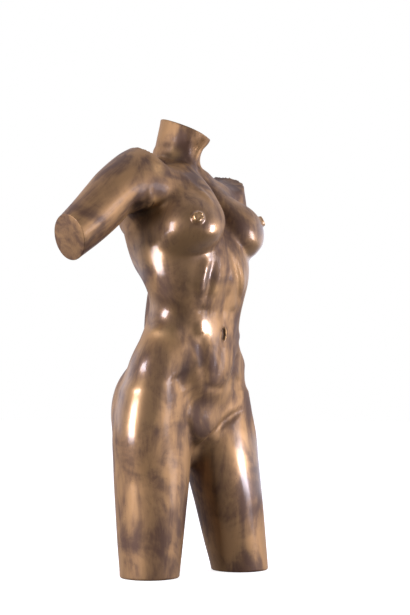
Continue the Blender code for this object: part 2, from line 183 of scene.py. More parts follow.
# Each ellipsoid: where it is, centre, half sizes, tilt about X, Y and Z in degrees, and its blend's width.
# Those on both sides are given on the figure's left.
BOTH, RIGHT, LEFT = "both", "right", "left"
ELLIPSOIDS = {
    "right_breast": (RIGHT, (72, -43, 645), (70, 67, 61), (0, 0, 0), 9),
    "left_breast": (LEFT, (73, -43, 651), (71, 67, 61), (0, 0, 0), 9),
    "right_slope": (RIGHT, (65, -43, 701), (56, 27, 100), (-40, 0, 24), 20),
    "left_slope": (LEFT, (60, -40, 695), (54, 26, 94), (-40, 0, 24), 20),
    "right_nipple": (RIGHT, (118, -97, 654), (13, 11, 12), (0, 0, 0), 5),
    "left_nipple": (LEFT, (109, -91, 673), (13, 12, 12), (0, 0, 0), 5),
    "right_pectoral": (RIGHT, (126, -6, 718), (70, 34, 36), (0, 16, 12), 24),
    "left_pectoral": (LEFT, (112, -4, 718), (62, 30, 34), (0, 16, 14), 22),
    "right_deltoid": (RIGHT, (160, 24, 722), (46, 42, 60), (0, -49, 0), 24),
    "left_deltoid": (LEFT, (150, 22, 702), (50, 42, 55), (0, -25, 0), 24),
    "right_trapezius": (RIGHT, (74, 36, 766), (78, 24, 20), (0, 5, 0), 20),
    "left_trapezius": (LEFT, (76, 36, 733), (74, 24, 20), (0, 2, 0), 20),
    "shoulder_blade": (BOTH, (76, 74, 694), (42, 20, 60), (0, 0, 14), 34),
    "back_muscle": (BOTH, (98, 38, 656), (34, 34, 92), (0, 8, 0), 38),
    "rib_side": (RIGHT, (86, -9, 584), (42, 46, 90), (-20, 10, 0), 34),
    "loin": (BOTH, (34, 56, 450), (26, 24, 110), (0, 0, 0), 30),
    "belly": (LEFT, (8, -34, 394), (52, 38, 74), (0, 0, 0), 40),
    "buttock": (BOTH, (64, 60, 302), (65, 56, 95), (0, 0, 0), 24),
    "right_hip": (RIGHT, (101, -8, 340), (44, 43, 140), (0, -12, 0), 34),
    "left_hip": (LEFT, (91, 16, 310), (44, 48, 76), (0, 8, 0), 34),
    "hip_bone": (BOTH, (97, -5, 386), (20, 18, 32), (0, 20, 0), 34),
    "pubic_mound": (BOTH, (0, -30, 284), (36, 20, 34), (0, 0, 0), 24),
}

# Each stroke of the carving: where it is, half width, height over the skin (below it when negative),
# and the places that it passes through
STROKES = {
    "clavicle": (BOTH, 8, 4, (12, -24, 771), (42, -20, 772), (78, -6, 774), (112, 5, 777), (142, 12, 778)),
    "over_clavicle": (BOTH, 13, -3, (34, 0, 784), (66, 8, 786), (96, 18, 786)),
    "sternomastoid": (
        RIGHT, 6, 5, (36, -19, 832), (32, -18, 813), (26, -18, 797), (20, -20, 784), (13, -22, 774),
    ),
    "far_sternomastoid": (
        LEFT, 6, 5, (30, -34, 842), (22, -30, 826), (10, -27, 808), (-2, -22, 792), (-8, -24, 778),
    ),
    "shoulder_line": (
        RIGHT, 9, 4, (162, -12, 770), (137, -28, 757), (112, -33, 748), (90, -43, 739), (76, -58, 722),
        (75, -82, 701), (76, -94, 686),
    ),
    "neck_hollow": (LEFT, 7, -7, (-4, -28, 828), (-5, -26, 813), (-8, -22, 799)),
    "throat_pit": (LEFT, 8, -4, (4, -24, 786), (3, -26, 774)),
    "breastbone": (LEFT, 12, -5, (0, -34, 755), (0, -60, 710), (0, -78, 660), (0, -90, 610)),
    "armpit": (RIGHT, 11, -9, (198, -8, 678), (189, -4, 668), (182, 2, 656), (182, 8, 646)),
    "armpit_fold": (RIGHT, 6, 7, (180, -30, 704), (172, -28, 692), (162, -25, 680), (151, -18, 664)),
    "right_costal_ridge": (RIGHT, 12, 5, (62, -84, 582), (64, -82, 558), (63, -80, 536), (54, -80, 514)),
    "right_costal_groove": (RIGHT, 7, -4, (45, -92, 584), (51, -90, 557), (47, -85, 530), (46, -76, 502)),
    "right_band": (RIGHT, 8, 3, (30, -95, 568), (31, -92, 542), (29, -84, 514)),
    "left_costal_groove": (LEFT, 7, -4, (-4, -94, 600), (22, -98, 563), (40, -89, 531), (56, -74, 500)),
    "left_costal_ridge": (LEFT, 10, 3, (18, -95, 598), (40, -92, 562), (56, -80, 528)),
    "midline": (LEFT, 7, -3, (-6, -94, 590), (0, -90, 540), (8, -82, 500), (10, -78, 470)),
    "low_midline": (LEFT, 8, -2, (9, -76, 430), (7, -76, 405), (4, -62, 365)),
    "band_pocket": (BOTH, 8, -3, (26, -76, 491), (39, -73, 491), (54, -67, 493)),
    "navel_bulge": (BOTH, 12, 2.5, (47, -71, 474), (45, -72, 460), (40, -73, 446)),
    "navel": (LEFT, 3.4, -9, (12, -78, 461), (13, -78, 450), (11, -77, 438)),
    "navel_rim": (LEFT, 3, 2, (17, -78, 462), (19, -77, 450), (16, -77, 438)),
    "flank_roll": (BOTH, 11, 3.5, (108, -4, 450), (102, -20, 450), (94, -36, 450), (76, -54, 450)),
    "waist_crease": (BOTH, 7, -2, (106, -14, 436), (99, -30, 434), (88, -42, 432)),
    "hip_crest": (
        BOTH, 12, 3, (128, -12, 390), (120, -30, 400), (104, -42, 412), (80, -52, 422), (58, -60, 426),
    ),
    "belly_edge": (RIGHT, 10, -5, (38, -68, 436), (36, -68, 414), (32, -70, 392), (26, -66, 362)),
    "far_belly_edge": (LEFT, 12, -6, (64, -50, 416), (58, -52, 394), (48, -54, 368), (36, -54, 342)),
    "belly_fold": (LEFT, 7, -1.5, (-20, -58, 356), (4, -60, 350), (24, -57, 352)),
    "hip_hollow": (BOTH, 24, -3, (84, -44, 372), (70, -48, 340)),
    "left_groin": (
        LEFT, 7, -7, (92, -46, 308), (62, -46, 292), (38, -44, 277), (16, -38, 258), (4, -22, 238),
    ),
    "right_groin": (RIGHT, 8, -3, (52, -46, 297), (42, -44, 270), (24, -32, 246), (8, -18, 232)),
    "spine": (
        LEFT, 12, -5, (0, 94, 716), (0, 92, 660), (2, 74, 590), (3, 60, 520), (3, 60, 450),
        (0, 76, 384),
    ),
    "blade_edge": (
        BOTH, 12, -3, (42, 90, 738), (46, 94, 690), (58, 90, 650), (84, 82, 634), (106, 66, 644),
    ),
    "loin_edge": (BOTH, 17, -3, (54, 62, 540), (52, 58, 460), (58, 68, 408)),
    "sacral_dimple": (BOTH, 8, -4, (33, 84, 386), (31, 86, 377)),
    "cleft": (LEFT, 8, -12, (0, 96, 352), (0, 112, 315), (0, 108, 268), (0, 70, 224)),
    "gluteal_fold": (BOTH, 7, -6, (16, 86, 226), (44, 96, 221), (80, 84, 230), (104, 62, 246)),
}


def smooth_curve(at, stations):
    """What the stations say at these places, on a smooth curve through them, level past its ends."""
    table = np.array(stations, float)
    places, values = table[:, 0], table[:, 1:]
    slopes = np.gradient(values, places, axis=0)
    at = np.clip(at, places[0], places[-1])
    first = np.clip(np.searchsorted(places, at, side="right") - 1, 0, len(places) - 2)
    span = (places[first + 1] - places[first])[:, None]
    t = (at - places[first])[:, None] / span
    start, end = values[first], values[first + 1]
    lift = t * t * (3 - 2 * t)
    leave = t * (1 - t) ** 2 * span * slopes[first]
    arrive = t * t * (t - 1) * span * slopes[first + 1]
    return start + (end - start) * lift + leave + arrive


def loft_distance(points, stations):
    """How far each point is outside the loft through these stations."""
    x, y, z = points.T
    centre_x, centre_y, width, front, back, square = smooth_curve(z, stations).T
    x, y = np.abs(x - centre_x), y - centre_y
    depth = np.where(y < 0, front, back)
    share = ((x / width) ** square + (np.abs(y) / depth) ** square) ** (1 / square)
    reach = np.hypot(x, y)
    side = reach - reach / np.maximum(share, 1e-3)
    past_end = np.maximum(z - stations[-1][0], stations[0][0] - z)
    outside = np.hypot(np.maximum(side, 0), np.maximum(past_end, 0))
    return np.where((side > 0) | (past_end > 0), outside, np.maximum(side, past_end))


def turn_matrix(degrees):
    """A turn about X, then Y, then Z."""
    x, y, z = (math.radians(angle) for angle in degrees)
    turned = Matrix.Rotation(z, 3, "Z") @ Matrix.Rotation(y, 3, "Y") @ Matrix.Rotation(x, 3, "X")
    return np.array(turned)


def ellipsoid_distance(points, centre, sizes, tilt):
    local = (points - np.array(centre, float)) @ turn_matrix(tilt)
    sizes = np.array(sizes, float)
    share = np.linalg.norm(local / sizes, axis=1)
    steepness = np.linalg.norm(local / sizes**2, axis=1)
    return share * (share - 1) / np.maximum(steepness, 1e-6)


def joined(first, second, blend):
    """The distance to two forms that run into each other over a fillet about this wide."""
    mix = np.clip(0.5 + 0.5 * (second - first) / blend, 0, 1)
    return second + (first - second) * mix - blend * mix * (1 - mix)


def arm_frame(direction):
    """The matrix whose Z column is the arm's own axis."""
    axis = Vector(direction).normalized()
    side = Vector((0, 1, 0)).cross(axis).normalized()
    return np.array(Matrix((side, axis.cross(side), axis)).transposed())


def arm_distance(points, side, direction, stations):
    shoulder = np.array(SHOULDER, float) * (side, 1, 1)
    return loft_distance((points - shoulder) @ arm_frame(direction), stations)


def stroke_path(places):
    """A smooth line through the places, laid on the uncarved figure."""
    stations = np.column_stack((np.arange(len(places)), np.array(places, float)))
    steps = np.linspace(0, len(places) - 1, STROKE_STEPS * (len(places) - 1) + 1)
    return drawn_onto(form_distance, smooth_curve(steps, stations), PATH_DRAWS)


def stroke_height(points, width, height, path):
    """How much a stroke raises the skin at each point: most along its middle, less to its ends."""
    reach = STROKE_REACH * width
    low, high = path.min(axis=0) - reach, path.max(axis=0) + reach
    near = np.flatnonzero(((points > low) & (points < high)).all(axis=1))
    raised = np.zeros(len(points))
    if not len(near):
        return raised
    spans = path[1:] - path[:-1]
    from_start = points[near, None, :] - path[None, :-1, :]
    along = (from_start * spans).sum(axis=2) / (spans**2).sum(axis=1)
    along = np.clip(along, 0, 1)
    away = np.linalg.norm(from_start - along[..., None] * spans, axis=2)
    closest = away.argmin(axis=1)
    rows = np.arange(len(near))
    share = (closest + along[rows, closest]) / len(spans)
    fade = np.clip(np.minimum(share, 1 - share) / END_SHARE, 0, 1)
    along_it = END_HEIGHT + (1 - END_HEIGHT) * fade
    raised[near] = height * along_it * np.exp(-((away[rows, closest] / width) ** 2))
    return raised


def thigh_distance(points, side, lean):
    """One thigh, leaning: every point is first set back upright, on the left side."""
    upright = points.copy()
    drop = np.maximum(HIP_JOINT - points[:, 2], 0)
    upright[:, 0] = (points[:, 0] - drop * lean[0]) * side
    upright[:, 1] = points[:, 1] - drop * lean[1]
    return loft_distance(upright, THIGH)


def by_side(points):
    """The points as a form on each side sees them, all set on the figure's left."""
    half = points.copy()
    half[:, 0] = np.abs(half[:, 0])
    return {BOTH: half, RIGHT: points * (-1, 1, 1), LEFT: points}


def form_distance(points):
    """How far each point is outside the straight figure, uncarved and before its pose."""
    sides = by_side(points)
    body = loft_distance(points, TRUNK)
    body = joined(body, thigh_distance(points, -1, RIGHT_LEAN), THIGH_BLEND)
    body = joined(body, thigh_distance(points, 1, LEFT_LEAN), THIGH_BLEND)
    for side, centre, sizes, tilt, blend in ELLIPSOIDS.values():
        body = joined(body, ellipsoid_distance(sides[side], centre, sizes, tilt), blend)
    body = joined(body, loft_distance(points, NECK), NECK_BLEND)
    body = joined(body, arm_distance(points, -1, RIGHT_ARM_DIRECTION, RIGHT_ARM), ARM_BLEND)
    return joined(body, arm_distance(points, 1, LEFT_ARM_DIRECTION, LEFT_ARM), ARM_BLEND)


def carved_distance(points, strokes):
    """How far each point is outside the straight figure with these strokes carved."""
    body = form_distance(points)
    sides = by_side(points)
    for side, width, height, path in strokes:
        body = body - stroke_height(sides[side], width, height, path)
    return body


def turned_about_z(points, degrees):
    angle = np.radians(degrees)
    x, y, z = points.T
    return np.column_stack(
        (x * np.cos(angle) - y * np.sin(angle), x * np.sin(angle) + y * np.cos(angle), z)
    )


def twist_at(height):
    """How far the pose turns the figure at this height, in degrees."""
    t = np.clip((height - PELVIS_HEIGHT) / (SHOULDER_HEIGHT - PELVIS_HEIGHT), 0, 1)
    return PELVIS_TURN + (SHOULDER_TURN - PELVIS_TURN) * t * t * (3 - 2 * t)


def carved_figure():
    """The distance to the finished figure, carved and posed."""
    strokes = []
    for side, width, height, *places in STROKES.values():
        strokes.append((side, width, height, stroke_path(places)))

    def distance(points):
        return carved_distance(turned_about_z(points, -twist_at(points[:, 2])), strokes)

    return distance


def slope_at(distance, points):
    """The distance's slope along X, Y and Z at each point."""
    slope = np.empty_like(points)
    for axis in range(3):
        offset = np.zeros(3)
        offset[axis] = SLOPE_STEP
        slope[:, axis] = (distance(points + offset) - distance(points - offset)) / (2 * SLOPE_STEP)
    return slope


def drawn_onto(distance, points, rounds, most=DRAW_REACH):
    """The points, each moved along the slope until it lies where the distance is nothing."""
    for _ in range(rounds):
        slope = slope_at(distance, points)
        steep = np.maximum((slope**2).sum(axis=1), 0.05)
        move = distance(points) / steep
        length = np.abs(move) * np.sqrt(steep)
        move *= np.minimum(1, most / np.maximum(length, 1e-6))
        points = points - slope * move[:, None]
    return points


def mesh_points(mesh):
    flat = np.empty(len(mesh.vertices) * 3, np.float32)
    mesh.vertices.foreach_get("co", flat)
    return flat.reshape(-1, 3).astype(float)


def move_points(mesh, points):
    mesh.vertices.foreach_set("co", points.astype(np.float32).ravel())
    mesh.update()


def add_loft(shape, stations, frame=None, origin=(0, 0, 0)):
    """Adds a closed skin through the stations to the bmesh."""
    frame = np.eye(3) if frame is None else frame
    rings = []
    for height, x, y, width, front, back, _ in stations:
        around = np.arange(LOFT_SIDES) * 2 * math.pi / LOFT_SIDES
        depth = np.where(np.sin(around) < 0, front, back)
        level = np.full(LOFT_SIDES, height)
        local = np.column_stack((x + width * np.cos(around), y + depth * np.sin(around), level))
        ring = [shape.verts.new(point) for point in local @ frame.T + origin]
        edges = [shape.edges.new((ring[i], ring[i - 1])) for i in range(LOFT_SIDES)]
        rings.append(edges)
    for lower, upper in zip(rings, rings[1:]):
        bmesh.ops.bridge_loops(shape, edges=lower + upper)
    for edges in (rings[0], rings[-1]):
        bmesh.ops.holes_fill(shape, edges=edges, sides=LOFT_SIDES)


def add_ellipsoid(shape, centre, sizes, tilt, side):
    turn = Matrix(turn_matrix(tilt).tolist()).to_4x4()
    place = Matrix.Translation(centre) @ turn @ Matrix.Diagonal((*sizes, 1))
    mirror = Matrix.Diagonal((side, 1, 1, 1))
    matrix = mirror @ place
    bmesh.ops.create_icosphere(shape, subdivisions=ELLIPSOID_FINENESS, radius=1, matrix=matrix)


def mirrored(stations):
    return [(height, -x, *rest) for height, x, *rest in stations]


def blank():
    """The rough closed mesh of all the forms, unposed: lofts and ellipsoids that overlap."""
    shape = bmesh.new()
    add_loft(shape, TRUNK)
    add_loft(shape, NECK)
    add_loft(shape, THIGH)
    add_loft(shape, mirrored(THIGH))
    arms = ((-1, RIGHT_ARM_DIRECTION, RIGHT_ARM), (1, LEFT_ARM_DIRECTION, LEFT_ARM))
    for side, direction, stations in arms:
        origin = np.array(SHOULDER, float) * (side, 1, 1)
        add_loft(shape, stations, arm_frame(direction), origin)
        for _, centre, sizes, tilt, _ in ELLIPSOIDS.values():
            add_ellipsoid(shape, centre, sizes, tilt, side)
    bmesh.ops.recalc_face_normals(shape, faces=shape.faces)
    mesh = bpy.data.meshes.new("torso")
    shape.to_mesh(mesh)
    shape.free()
    return mesh


def remeshed(obj, voxel):
    """The object's mesh made anew in even quads."""
    modifier = obj.modifiers.new("remesh", "REMESH")
    modifier.mode = "VOXEL"
    modifier.voxel_size = voxel
    graph = bpy.context.evaluated_depsgraph_get()
    made = bpy.data.meshes.new_from_object(obj.evaluated_get(graph))
    obj.modifiers.clear()
    obj.data = made
    made.name = obj.name


def cut_flat(mesh, cuts):
    """Cuts the mesh by each plane, drops what lies beyond, and closes it with a flat face."""
    shape = bmesh.new()
    shape.from_mesh(mesh)
    for point, facing, reach in cuts:
        away = Vector(facing).normalized()
        middle = Vector(point) + away * CUT_MIDDLE
        near = [vert for vert in shape.verts if (vert.co - middle).length < reach]
        edges = {edge for vert in near for edge in vert.link_edges}
        faces = {face for vert in near for face in vert.link_faces}
        bmesh.ops.bisect_plane(
            shape,
            geom=near + list(edges) + list(faces),
            plane_co=Vector(point),
            plane_no=away,
            clear_outer=True,
        )
        rim = [edge for edge in shape.edges if edge.is_boundary]
        bmesh.ops.holes_fill(shape, edges=rim, sides=0)
    bmesh.ops.recalc_face_normals(shape, faces=shape.faces)
    shape.to_mesh(mesh)
    shape.free()


def posed(points):
    return turned_about_z(points, twist_at(points[:, 2]))


def sculpt(voxel):
    """The torso at its full fineness, in the figure's own units."""
    torso = bpy.data.objects.new("torso", blank())
    bpy.context.scene.collection.objects.link(torso)
    figure = carved_figure()
    remeshed(torso, BLANK_VOXEL)
    move_points(torso.data, drawn_onto(figure, posed(mesh_points(torso.data)), BLANK_DRAWS))
    remeshed(torso, voxel)
    move_points(torso.data, drawn_onto(figure, mesh_points(torso.data), SKIN_DRAWS))
    cut_flat(torso.data, CUTS)
    return torso


def neighbour_mean(values, edges, count):
    """Each point's mean of the values of the points that it shares an edge with."""
    total = np.zeros((count, *values.shape[1:]))
    shares = np.zeros(count)
    for near, far in (edges.T, edges.T[::-1]):
        np.add.at(total, near, values[far])
        np.add.at(shares, near, 1)
    shares = np.maximum(shares, 1)
    return total / (shares if values.ndim == 1 else shares[:, None])


def set_attribute(mesh, name, values):
    made = mesh.attributes.new(name, "FLOAT", "POINT")
    made.data.foreach_set("value", values.astype(np.float32))


# The relief: how often and how far it is evened out, and the bend that counts as fully raised or sunk
RELIEF_ROUNDS = 10
RELIEF_EVENING = 0.6
FULL_RELIEF = 0.05
# Where the arm starts along its axis and over how far, and how far around its axis it reaches and fades
ARM_START, ARM_ONSET = 10, 50
ARM_GIRTH, ARM_FADE = 100, 30


def mark_relief(mesh):
    """Writes how much each point of the surface stands out, from -1 in a hollow to 1 on an edge."""
    points = mesh_points(mesh)
    edges = np.empty(len(mesh.edges) * 2, np.int32)
    mesh.edges.foreach_get("vertices", edges)
    edges = edges.reshape(-1, 2)
    normals = np.empty(len(points) * 3, np.float32)
    mesh.vertex_normals.foreach_get("vector", normals)
    normals = normals.reshape(-1, 3)
    inward = points - neighbour_mean(points, edges, len(points))
    length = np.linalg.norm(points[edges[:, 0]] - points[edges[:, 1]], axis=1)
    squared = np.zeros(len(points))
    np.maximum.at(squared, edges[:, 0], length**2)
    np.maximum.at(squared, edges[:, 1], length**2)
    bend = (inward * normals).sum(axis=1) / np.maximum(squared, 1)
    for _ in range(RELIEF_ROUNDS):
        around = neighbour_mean(bend, edges, len(points))
        bend = (1 - RELIEF_EVENING) * bend + RELIEF_EVENING * around
    set_attribute(mesh, "relief", np.clip(bend / FULL_RELIEF, -1, 1))


def mark_arm(mesh):
    """Writes how much each point belongs to the arm, from 0 on the body to 1 past the shoulder."""
    shoulder = np.array(SHOULDER, float) * (-1, 1, 1)
    along = (mesh_points(mesh) - shoulder) @ arm_frame(RIGHT_ARM_DIRECTION)
    share = np.clip((along[:, 2] - ARM_START) / ARM_ONSET, 0, 1)
    beside = np.clip((ARM_GIRTH - np.hypot(along[:, 0], along[:, 1])) / ARM_FADE, 0, 1)
    set_attribute(mesh, "arm", share * share * (3 - 2 * share) * beside)


# Each patch: its place on the posed figure, its reach, and how strong it is.
# Where the surface is waxed to a high gloss
GLOSSY = (
    ((-95, -90, 632), 62, 1.4),
    ((95, -75, 632), 55, 1.4),
    ((-118, -10, 590), 58, 1.4),
    ((-66, -70, 560), 45, 1.4),
    ((-100, -28, 480), 50, 1.4),
    ((-44, -70, 452), 27, 1.4),
    ((-140, -12, 384), 50, 1.6),
    ((-152, -5, 340), 55, 1.6),
    ((-158, 0, 295), 50, 1.6),
    ((-122, -38, 398), 22, 1.2),
    ((-42, 0, 790), 30, 1.3),
    ((55, -60, 560), 40, 1.2),
    ((118, -72, 200), 80, 1.4),
    ((-40, 110, 300), 90, 1.2),
    ((60, 110, 300), 90, 1.2),
    ((0, 100, 640), 110, 1.0),
)
# Where the patina is rubbed down to the gold. The two patches at the waist and the one on the side of the
# neck are painted highlights
RUBBED_AND_PAINTED_HIGHLIGHTS = (
    ((-148, -51, 745), 18, 1.3),
    ((-150, -42, 684), 15, 1.3),
    ((-142, -32, 668), 12, 0.8),
    # Painted highlight: the band of light along the waist
    ((-104, -36, 449), 22, 0.9),
    ((-113, -13, 451), 16, 0.6),
    ((-31, -89, 529), 16, 0.7),
    ((-104, -116, 655), 15, 1.0),
    ((120, -74, 672), 13, 1.0),
    # Painted highlight on the side of the neck
    ((-43, 0, 795), 14, 0.8),
)
# Painted shade: dark patches in the armpit, the hollow of the neck, the pits and hollows of the belly and
# hip, under the breast, over the front of the ribs and belly, and in the crotch, where shade falls. The
# one on the arm's cut is dark wax on the cut face
WAX_AND_PAINTED_SHADE = (
    ((-178, -34, 674), 22, 1.2),
    ((-156, -14, 668), 22, 1.2),
    ((-172, 0, 640), 34, 0.6),
    ((-44, -66, 396), 19, 0.6),
    ((-46, -74, 492), 13, 0.6),
    ((-70, -58, 380), 32, 0.7),
    ((-6, -27, 812), 12, 0.6),
    ((-88, -62, 528), 52, 0.6),
    ((-80, -60, 468), 42, 0.55),
    (RIGHT_ARM_CUT[0], 28, 0.5),
    ((-14, -30, 250), 24, 0.7),
    ((-84, -78, 596), 30, 0.5),
)
# The share of a patch's reach over which it fades
PATCH_FADE = 0.7


def mark_patches(mesh, name, patches):
    """Writes how strongly each point lies in the patches, from 0 to 1."""
    points = mesh_points(mesh)
    total = np.zeros(len(points))
    for place, reach, strength in patches:
        away = ((points - np.array(place, float)) ** 2).sum(axis=1)
        total += strength * np.exp(-away / (PATCH_FADE * reach) ** 2)
    set_attribute(mesh, name, np.clip(total, 0, 1))


# The rims of the cuts, ground smooth: how far in from each plane the rounding starts, and its steps,
# and how near to the plane the skin is cut
RIMS = (1.6, 1.6, 1.6, 4.0)
RIM_STEPS = 4
RIM_BAND = 12


def round_rims(mesh):
    """Rounds the edge of each flat cut: takes the end off short, and turns the rim in to the plane."""
    shape = bmesh.new()
    shape.from_mesh(mesh)
    for (point, facing, reach), rounding in zip(CUTS, RIMS):
        away = Vector(facing).normalized()
        plane = Vector(point) - away * rounding
        near = set()
        for vert in shape.verts:
            offset = vert.co - plane
            if abs(offset.dot(away)) < RIM_BAND and offset.length < reach:
                near.add(vert)
        edges = {edge for vert in near for edge in vert.link_edges}
        faces = {face for vert in near for face in vert.link_faces}
        bmesh.ops.bisect_plane(
            shape, geom=list(near | edges | faces), plane_co=plane, plane_no=away, clear_outer=True
        )
        shape.normal_update()
        rim = [edge for edge in shape.edges if edge.is_boundary]
        start, inward = {}, {}
        for vert in {vert for edge in rim for vert in edge.verts}:
            side = vert.normal - away * vert.normal.dot(away)
            start[vert], inward[vert] = vert.co.copy(), -side.normalized()
        for step in range(1, RIM_STEPS + 1):
            angle = step / RIM_STEPS * math.pi / 2
            rise, turn = rounding * math.sin(angle), rounding * (1 - math.cos(angle))
            made = bmesh.ops.extrude_edge_only(shape, edges=rim)["geom"]
            fresh = {item for item in made if isinstance(item, bmesh.types.BMVert)}
            made_edges = [item for item in made if isinstance(item, bmesh.types.BMEdge)]
            rim = [edge for edge in made_edges if fresh.issuperset(edge.verts)]
            for vert in fresh:
                beside = (edge.other_vert(vert) for edge in vert.link_edges)
                below = next(other for other in beside if other not in fresh)
                start[vert], inward[vert] = start[below], inward[below]
            for vert in fresh:
                vert.co = start[vert] + away * rise + inward[vert] * turn
        bmesh.ops.holes_fill(shape, edges=rim, sides=0)
    bmesh.ops.recalc_face_normals(shape, faces=shape.faces)
    shape.to_mesh(mesh)
    shape.free()


# The small forms that are cut finer: each nipple's crown of little lumps, and the navel.
# The ring of lumps: their number, radius, and how far out their face lies from the middle
CROWN_LUMPS = 8
CROWN_RADIUS = 8.0
CROWN_FACE = 7.7
LUMP_WIDTH, LUMP_HEIGHT = 3.0, 2.4
# How the lumps differ: the share of a step around the ring, and the shares of radius, face and height
CROWN_CHANCE = 7
STEP_SHARES = (-0.2, 0.2)
RADIUS_SHARES = (0.8, 1.15)
FACE_SHARES = (0.75, 1.0)
HEIGHT_SHARES = (0.6, 1.3)
# The pit in the middle of the ring, and how far the whole crown is sunk
PIT_OUT, PIT_SHARE = 3, -0.5
CROWN_SINK, SINK_WIDTH = -3.6, 11.0
CROWN_REACH = 22
NAVEL, NAVEL_REACH = (12, -78, 450), 18
# How often they are cut finer, each time within a smaller reach, and how they are drawn in
FINER_CUTS, FINER_REACH = 2, 0.75
FINER_DRAWS, FINER_MOST = 4, 3.0
# The fewest and most sides of the odd faces that the finer cuts leave, which are made into triangles
FEWEST_SIDES, MOST_SIDES = 5, 11


def nipple_crowns():
    """The lumps around both nipples on the posed figure, with their heights, and the two middles."""
    chance = np.random.default_rng(CROWN_CHANCE)
    lumps, heights, middles = [], [], []
    for name, breast, side in (("right_nipple", "right_breast", -1), ("left_nipple", "left_breast", 1)):
        middle = np.array(ELLIPSOIDS[name][1], float) * (side, 1, 1)
        axis = middle - np.array(ELLIPSOIDS[breast][1], float) * (side, 1, 1)
        axis /= np.linalg.norm(axis)
        across = np.cross(axis, (0, 0, 1))
        across /= np.linalg.norm(across)
        up = np.cross(across, axis)
        for lump in range(CROWN_LUMPS):
            angle = (lump + chance.uniform(*STEP_SHARES)) / CROWN_LUMPS * 2 * math.pi
            radius = CROWN_RADIUS * chance.uniform(*RADIUS_SHARES)
            around = across * math.cos(angle) + up * math.sin(angle)
            lumps.append(middle + axis * CROWN_FACE * chance.uniform(*FACE_SHARES) + around * radius)
            heights.append(LUMP_HEIGHT * chance.uniform(*HEIGHT_SHARES))
        lumps.append(middle + axis * (CROWN_FACE + PIT_OUT))
        heights.append(LUMP_HEIGHT * PIT_SHARE)
        middles.append(middle + axis * CROWN_FACE)
    return posed(np.array(lumps)), np.array(heights), posed(np.array(middles))


def refine_small_forms(mesh):
    """Cuts the surface finer around the nipples and the navel, and draws it in with the small lumps."""
    lumps, heights, middles = nipple_crowns()
    navel = posed(np.array([NAVEL], float))
    places = [(Vector(middle), CROWN_REACH) for middle in middles]
    places.append((Vector(navel[0]), NAVEL_REACH))
    shape = bmesh.new()
    shape.from_mesh(mesh)
    for place, reach in places:
        for _ in range(FINER_CUTS):
            inside = {vert for vert in shape.verts if (vert.co - place).length < reach}
            near = [edge for edge in shape.edges if inside.issuperset(edge.verts)]
            bmesh.ops.subdivide_edges(shape, edges=near, cuts=1, use_grid_fill=True)
            reach *= FINER_REACH
    many = [face for face in shape.faces if FEWEST_SIDES <= len(face.verts) <= MOST_SIDES]
    bmesh.ops.triangulate(shape, faces=many)
    shape.to_mesh(mesh)
    shape.free()
    figure = carved_figure()

    def with_lumps(points):
        raised = np.zeros(len(points))
        for lump, height in zip(lumps, heights):
            raised += height * np.exp(-((points - lump) ** 2).sum(axis=1) / LUMP_WIDTH**2)
        for middle in middles:
            raised += CROWN_SINK * np.exp(-((points - middle) ** 2).sum(axis=1) / SINK_WIDTH**2)
        return figure(points) - raised

    points = mesh_points(mesh)
    near = np.zeros(len(points), bool)
    for place, reach in places:
        near |= np.linalg.norm(points - np.array(place), axis=1) < reach
    points[near] = drawn_onto(with_lumps, points[near], FINER_DRAWS, FINER_MOST)
    move_points(mesh, points)


def add_node(tree, kind, settings=None, **inputs):
    """A shader node with its settings and inputs, each a value or a link, and named, or numbered as _0."""
    node = tree.nodes.new(kind)
    for name, value in (settings or {}).items():
        setattr(node, name, value)
    for name, value in inputs.items():
        socket = node.inputs[int(name[1:])] if name.startswith("_") else node.inputs[name]
        if isinstance(value, bpy.types.NodeSocket):
            tree.links.new(value, socket)
        else:
            socket.default_value = value
    return node


def arithmetic(tree, operation, first, second, third=0.0):
    inputs = {"_0": first, "_1": second, "_2": third}
    return add_node(tree, "ShaderNodeMath", {"operation": operation}, **inputs).outputs[0]


def blended(tree, share, first, second):
    """A mix of two colours; a share of nothing is all the first."""
    node = add_node(tree, "ShaderNodeMix", {"data_type": "RGBA"}, Factor=share, _6=first, _7=second)
    return node.outputs[2]


def spread(tree, value, low, high, to_low=0.0, to_high=1.0):
    """A value's range set out from to_low to to_high, with soft ends."""
    settings = {"interpolation_type": "SMOOTHSTEP"}
    ends = {"_1": low, "_2": high, "_3": to_low, "_4": to_high}
    return add_node(tree, "ShaderNodeMapRange", settings, Value=value, **ends).outputs[0]


def noise(tree, place, scale, detail, roughness, distortion=0.0):
    inputs = {"Scale": scale, "Detail": detail, "Roughness": roughness, "Distortion": distortion}
    return add_node(tree, "ShaderNodeTexNoise", None, Vector=place, **inputs).outputs["Fac"]


def bumped(tree, height, strength, distance, **onto):
    inputs = {"Strength": strength, "Distance": distance, "Height": height, **onto}
    return add_node(tree, "ShaderNodeBump", None, **inputs).outputs[0]


def attribute(tree, name):
    return add_node(tree, "ShaderNodeAttribute", {"attribute_name": name}).outputs["Fac"]


# The brushed patina: how much wider than long its streaks are packed, on the body and on the arm
BODY_STREAKS = (30, 30, 9)
ARM_STREAKS = (38, 38, 9)

# Each noise of the bronze: scale, detail, roughness, and distortion where it has any
BODY_BRUSH = (1.0, 6, 0.6, 0.5)
ARM_BRUSH = (1.0, 6, 0.6, 0.4)
CLOUDS = (10.0, 6, 0.55, 0.8)
PATCHES = (60.0, 5, 0.6, 0.3)
FLECKS = (260.0, 2, 0.5)
GRAIN = (90.0, 4, 0.6)
RIPPLE = (30.0, 3, 0.5)

# Each range: from where to where a value is spread out, and to what
PATCH_RANGE = (0.35, 0.65, 0.6, 1.0)
RAISED, SUNK = (0.25, 0.8), (-0.2, -0.9)
THIN_RANGE = (0.42, 0.62)
FLECK_RANGE = (0.70, 0.78)
GLOSS_RANGE = (0.35, 1.0)

